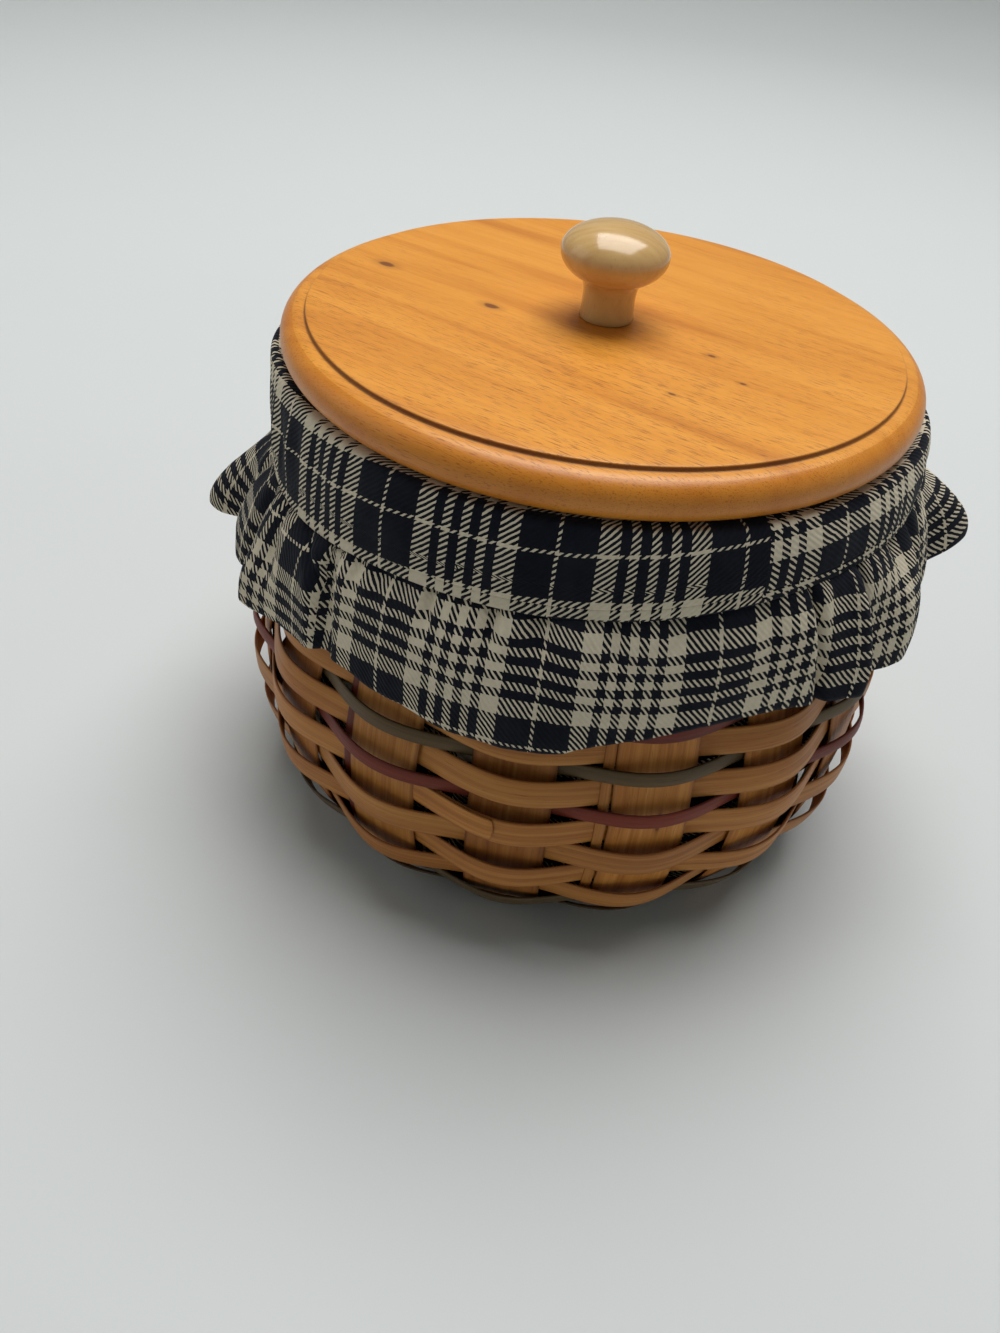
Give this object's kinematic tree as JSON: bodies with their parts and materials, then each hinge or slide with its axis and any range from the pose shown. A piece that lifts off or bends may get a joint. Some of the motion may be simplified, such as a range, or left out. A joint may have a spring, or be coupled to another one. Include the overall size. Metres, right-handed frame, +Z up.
{
  "type": "lidded basket",
  "caption": "Round splint basket with a bulging woven wall, a plaid cloth liner with a gathered ruffle over the rim, and a turned wooden lid with a mushroom knob.",
  "frame": {"origin": "on the floor under the middle of the basket", "axes": "+Z up, -Y towards the picture's view, +X to its right"},
  "size_m": [0.256, 0.24, 0.2037],
  "materials": {
    "natural_splint": "satin",
    "green_splint": "satin",
    "burgundy_splint": "satin",
    "lid_wood": "semi-gloss varnish",
    "knob_wood": "gloss varnish",
    "plaid_cloth": "matte woven cotton",
    "screw_steel": "brushed"
  },
  "bodies": {
    "basket": {"long_splint_1": "natural_splint", "long_splint_2": "natural_splint", "long_splint_3": "natural_splint", "long_splint_4": "natural_splint", "long_splint_5": "natural_splint", "long_splint_6": "natural_splint", "long_splint_7": "natural_splint", "long_splint_8": "natural_splint", "wall_weaver_01": "green_splint", "wall_weaver_02": "green_splint", "wall_weaver_03": "green_splint", "wall_weaver_04": "natural_splint", "wall_weaver_05": "natural_splint", "wall_weaver_06": "natural_splint", "wall_weaver_07": "natural_splint", "wall_weaver_08": "burgundy_splint", "wall_weaver_09": "natural_splint", "wall_weaver_10": "green_splint", "wall_weaver_11": "natural_splint", "wall_weaver_12": "burgundy_splint", "wall_weaver_13": "natural_splint", "wall_weaver_14": "natural_splint", "wall_weaver_15": "natural_splint", "wall_weaver_16": "natural_splint", "base_weaver_1": "natural_splint", "base_weaver_2": "natural_splint", "base_weaver_3": "natural_splint", "base_weaver_4": "natural_splint", "base_weaver_5": "natural_splint", "base_weaver_6": "natural_splint", "outer_rim_hoop": "natural_splint", "inner_rim_hoop": "natural_splint", "liner": "plaid_cloth", "liner_cuff": "plaid_cloth", "ruffle": "plaid_cloth"},
    "lid": {"lid": "lid_wood", "knob": "knob_wood", "knob_screw": "screw_steel"}
  },
  "joints": [
    {"name": "lid_lift", "type": "slide", "parent": "basket", "child": "lid", "axis": [0, 0, 1], "range_m": [0, 0.12]}
  ]
}
